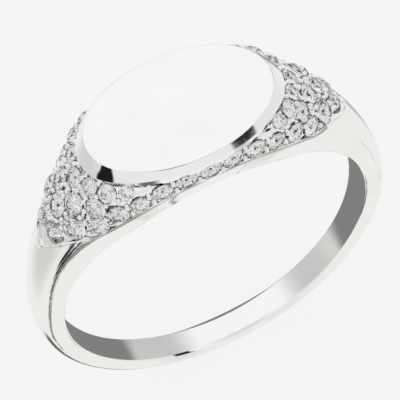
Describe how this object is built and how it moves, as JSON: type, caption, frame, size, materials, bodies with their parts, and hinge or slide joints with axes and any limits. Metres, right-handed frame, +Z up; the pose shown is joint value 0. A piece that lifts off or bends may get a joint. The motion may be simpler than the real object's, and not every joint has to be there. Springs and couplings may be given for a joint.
{
  "type": "signet ring",
  "caption": "Polished silver signet ring with a plain oval plate, bevelled rim and clear round stones set in both shoulders and along the plate's long sides.",
  "frame": {"origin": "centre of the finger bore", "axes": "+Y along the finger, +Z up through the signet plate, X along the plate's long axis"},
  "size_m": [0.0198, 0.007, 0.0218],
  "materials": {
    "silver_band": "polished",
    "silver_plate": "mirror polished",
    "clear_stone": "faceted"
  },
  "bodies": {
    "root": {"shank": "silver_band", "signet_plate": "silver_plate", "stone_back_01": "clear_stone", "stone_back_02": "clear_stone", "stone_back_03": "clear_stone", "stone_back_04": "clear_stone", "stone_back_05": "clear_stone", "stone_back_06": "clear_stone", "stone_back_07": "clear_stone", "stone_back_08": "clear_stone", "stone_back_09": "clear_stone", "stone_front_01": "clear_stone", "stone_front_02": "clear_stone", "stone_front_03": "clear_stone", "stone_front_04": "clear_stone", "stone_front_05": "clear_stone", "stone_front_06": "clear_stone", "stone_front_07": "clear_stone", "stone_front_08": "clear_stone", "stone_front_09": "clear_stone", "stone_left_01": "clear_stone", "stone_left_02": "clear_stone", "stone_left_03": "clear_stone", "stone_left_04": "clear_stone", "stone_left_05": "clear_stone", "stone_left_06": "clear_stone", "stone_left_07": "clear_stone", "stone_left_08": "clear_stone", "stone_left_09": "clear_stone", "stone_left_10": "clear_stone", "stone_left_11": "clear_stone", "stone_left_12": "clear_stone", "stone_left_13": "clear_stone", "stone_left_14": "clear_stone", "stone_left_15": "clear_stone", "stone_left_16": "clear_stone", "stone_left_17": "clear_stone", "stone_left_18": "clear_stone", "stone_right_01": "clear_stone", "stone_right_02": "clear_stone", "stone_right_03": "clear_stone", "stone_right_04": "clear_stone", "stone_right_05": "clear_stone", "stone_right_06": "clear_stone", "stone_right_07": "clear_stone", "stone_right_08": "clear_stone", "stone_right_09": "clear_stone", "stone_right_10": "clear_stone", "stone_right_11": "clear_stone", "stone_right_12": "clear_stone", "stone_right_13": "clear_stone", "stone_right_14": "clear_stone", "stone_right_15": "clear_stone", "stone_right_16": "clear_stone", "stone_right_17": "clear_stone", "stone_right_18": "clear_stone"}
  },
  "joints": []
}
